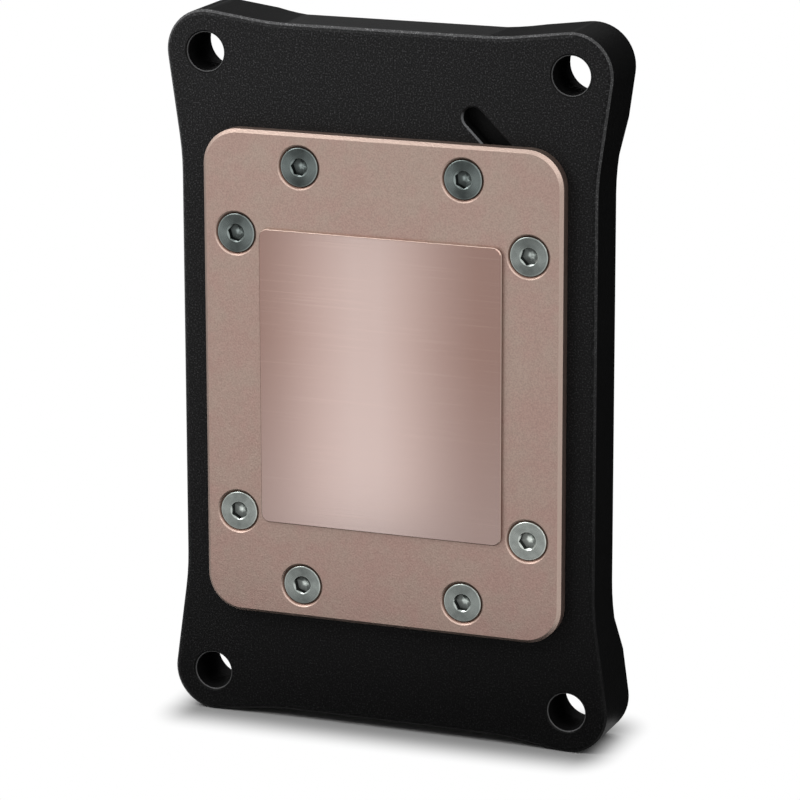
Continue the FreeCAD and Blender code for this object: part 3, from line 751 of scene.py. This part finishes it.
def beyond(tree, first, second, scale):
    """How far one place lies beyond another along each axis, held above nought, times a scale."""
    past = vector_math(tree, "SUBTRACT", first, second)["Vector"]
    held = vector_math(tree, "MAXIMUM", past)["Vector"]
    return stretched(tree, held, scale)


def floor_material():
    """A pale floor that shows white, and keeps the shadow round the object's foot.

    Seen directly it turns from paper darkened as painted shadow into plain white with the
    distance from the foot: the length of how far a place lies before its low corner or past its
    high one.
    that starts SIDE_INSET inside the corners and counts SIDE_FADE times, because the shadow
    is short there. Scattered light meets pale paper all over.
    """
    material = bpy.data.materials.new("studio_floor")
    tree = emptied_tree(material)
    place = coordinates(tree)["Object"]
    low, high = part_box("top_housing")
    before = beyond(tree, (low.x + SIDE_INSET, 0.0, 0.0), place, (SIDE_FADE, 1, 0))
    past = beyond(tree, place, (high.x - SIDE_INSET, high.y, 0.0), (SIDE_FADE, 1, 0))
    away = vector_math(tree, "ADD", before, past)["Vector"]
    distance = vector_math(tree, "LENGTH", away)["Value"]
    far = add_node(tree, "ShaderNodeMapRange", {
        "Value": distance, "From Min": 0.0, "From Max": SHADOW_REACH,
    }, interpolation_type="SMOOTHSTEP").outputs[0]
    seen = seen_directly(tree)
    white = computed(tree, "MULTIPLY", seen, far)
    # Seen directly the paper is darker, as painted shadow near the foot
    shadow_grey = mixed_colour(tree, seen, PAPER_LIT, PAPER_SEEN_SHADOW)
    paper = add_node(tree, "ShaderNodeBsdfDiffuse", {"Color": shadow_grey}).outputs[0]
    glow = add_node(tree, "ShaderNodeEmission", {"Color": WHITE, "Strength": 1.0}).outputs[0]
    both = add_node(tree, "ShaderNodeMixShader", {0: white, 1: paper, 2: glow}).outputs[0]
    add_node(tree, "ShaderNodeOutputMaterial", {"Surface": both})
    return material


def make_floor():
    """A wide flat floor under the object."""
    corners = np.array([(-1, -1, 0), (1, -1, 0), (1, 1, 0), (-1, 1, 0)], dtype=float)
    points = corners * FLOOR_HALF
    points[:, 2] = FLOOR_LEVEL
    floor = make_mesh("studio_floor", points, np.array([[0, 1, 2, 3]]))
    dress(floor, floor_material())


def make_card(name, low, high):
    """A flat black card between two opposite corners, which shows in reflections only."""
    (x0, y0, z0), (x1, y1, z1) = low, high
    points = np.array([
        (x0, y0, z0),
        (x1, y0, z0),
        (x1, y1, z1),
        (x0, y1, z1),
    ])
    card = make_mesh(name, points, np.array([[0, 1, 2, 3]]))
    material, tree, shader = new_material(name)
    feed(tree, shader.inputs["Base Color"], BLACK)
    feed(tree, shader.inputs["Specular IOR Level"], 0.0)
    feed(tree, shader.inputs["Roughness"], 1.0)
    dress(card, material)
    card.visible_camera = False
    card.visible_diffuse = False
    card.visible_shadow = False
    card.visible_transmission = False


def make_cards():
    """Cards behind and round the foot, which keep the dark walls dark; the low front card stands in
    for the shadow in front of the foot, seen in reflections only.
    """
    make_card("back_card", low=(-0.8, 0.30, FLOOR_LEVEL), high=(0.8, 0.30, 0.35))
    make_card("low_back_card", low=(-0.5, 0.012, CARD_LEVEL), high=(0.8, 0.30, CARD_LEVEL))
    # A black sheet that stands in for the shadow in front of the foot, in reflections only
    make_card("low_front_shadow_card", low=(-0.10, -0.026, CARD_LEVEL), high=(0.04, -0.003, CARD_LEVEL))


def make_world():
    """A pale surrounding that shows white, and lights the object softly."""
    world = bpy.data.worlds.new("studio")
    bpy.context.scene.world = world
    tree = emptied_tree(world)
    strength = mixed_value(tree, seen_directly(tree), SKY_SCATTERED, 1.0)
    glow = add_node(tree, "ShaderNodeBackground", {"Color": WHITE, "Strength": strength})
    add_node(tree, "ShaderNodeOutputWorld", {"Surface": glow.outputs[0]})


# Lamps and camera

def make_lamp(name, place, along, length, width, brightness):
    """A soft box aimed at the object: its long side runs along a direction as nearly as it can.

    Brightness is its face's, in shares of white, so its power is that times its area and pi.
    """
    light = bpy.data.lights.new(name, "AREA")
    light.shape = "RECTANGLE"
    light.size = length
    light.size_y = width
    light.energy = brightness * math.pi * length * width
    lamp = bpy.data.objects.new(name, light)
    back = Vector(place).normalized()
    across = back.cross(Vector(along)).normalized()
    long_side = across.cross(back)
    axes = Matrix((long_side, across, back)).transposed().to_4x4()
    lamp.matrix_world = Matrix.Translation(Vector(place)) @ axes
    lamp.visible_camera = False
    bpy.context.scene.collection.objects.link(lamp)


def make_lights():
    """A near soft box at the upper left, two above, one behind and a low strip in front."""
    level = (1, 0, 0)
    make_lamp("key", (-0.17, -0.17, 0.20), level, length=0.17, width=0.17, brightness=8.0)
    make_lamp("overhead_back", (0.03, 0.15, 0.48), level, length=0.25, width=0.20, brightness=7.5)
    make_lamp("behind", (-0.22, 0.42, 0.26), level, length=0.30, width=0.25, brightness=6.0)
    make_lamp(
        "upper_right_strip", (0.44, -0.32, 0.52), (0.7, 0, -0.7),
        length=1.0, width=0.13, brightness=4.5,
    )
    make_lamp(
        "low_strip", (-0.0455, -0.110, -0.032), (0, 0, 1),
        length=0.066, width=0.023, brightness=1.05,
    )


def make_camera():
    """The photograph's camera: it looks down a little from the right, through a long lens.

    Its place is the object's origin, moved back along the view and then sideways and up by
    as much as the origin's pixel lies off the picture's middle.
    """
    sin_a, cos_a = math.sin(VIEW_AZIMUTH), math.cos(VIEW_AZIMUTH)
    sin_e, cos_e = math.sin(VIEW_ELEVATION), math.cos(VIEW_ELEVATION)
    forward = Vector((-sin_a * cos_e, cos_a * cos_e, -sin_e))
    level = Vector((cos_a, sin_a, 0.0))
    upright = level.cross(forward)
    right = level * math.cos(VIEW_ROLL) - upright * math.sin(VIEW_ROLL)
    up = right.cross(forward)
    metres_per_pixel = VIEW_DEPTH / FOCAL_PIXELS
    off_right = (ORIGIN_PIXEL[0] - PHOTO_SIZE / 2) * metres_per_pixel
    off_up = (PHOTO_SIZE / 2 - ORIGIN_PIXEL[1]) * metres_per_pixel
    data = bpy.data.cameras.new("photo_camera")
    data.sensor_width = SENSOR_WIDTH
    data.lens = FOCAL_PIXELS / PHOTO_SIZE * SENSOR_WIDTH
    data.clip_start = 0.01
    data.clip_end = 20.0
    camera = bpy.data.objects.new("photo_camera", data)
    axes = Matrix((right, up, -forward)).transposed().to_4x4()
    place = -right * off_right - up * off_up - forward * VIEW_DEPTH
    camera.matrix_world = Matrix.Translation(place) @ axes
    bpy.context.scene.collection.objects.link(camera)
    bpy.context.scene.camera = camera


# Assembly

blasted_grain = blasted_grain_group()
brushed_lines = brushed_lines_group()
milled_edge = milled_edge_group()
acetal = acetal_material(blasted_grain, milled_edge)
steel = screw_material()

dress(frame["nodes"]["top_housing"], acetal)
dress(frame["nodes"]["cold_plate"], copper_material(blasted_grain, brushed_lines, milled_edge))
dress(frame["nodes"]["seal_ring"], rubber_material())
dress(frame["nodes"]["jet_plate"], sheet_steel_material())
for number in range(1, SCREW_COUNT + 1):
    dress(make_screw(number), steel)
dress(make_port_thread("inlet_thread", MOUNTS["inlet_port"]), acetal)
dress(make_port_thread("outlet_thread", MOUNTS["outlet_port"]), acetal)

make_floor()
make_cards()
make_world()
make_lights()
make_camera()
bpy.context.scene.view_settings.view_transform = "Standard"
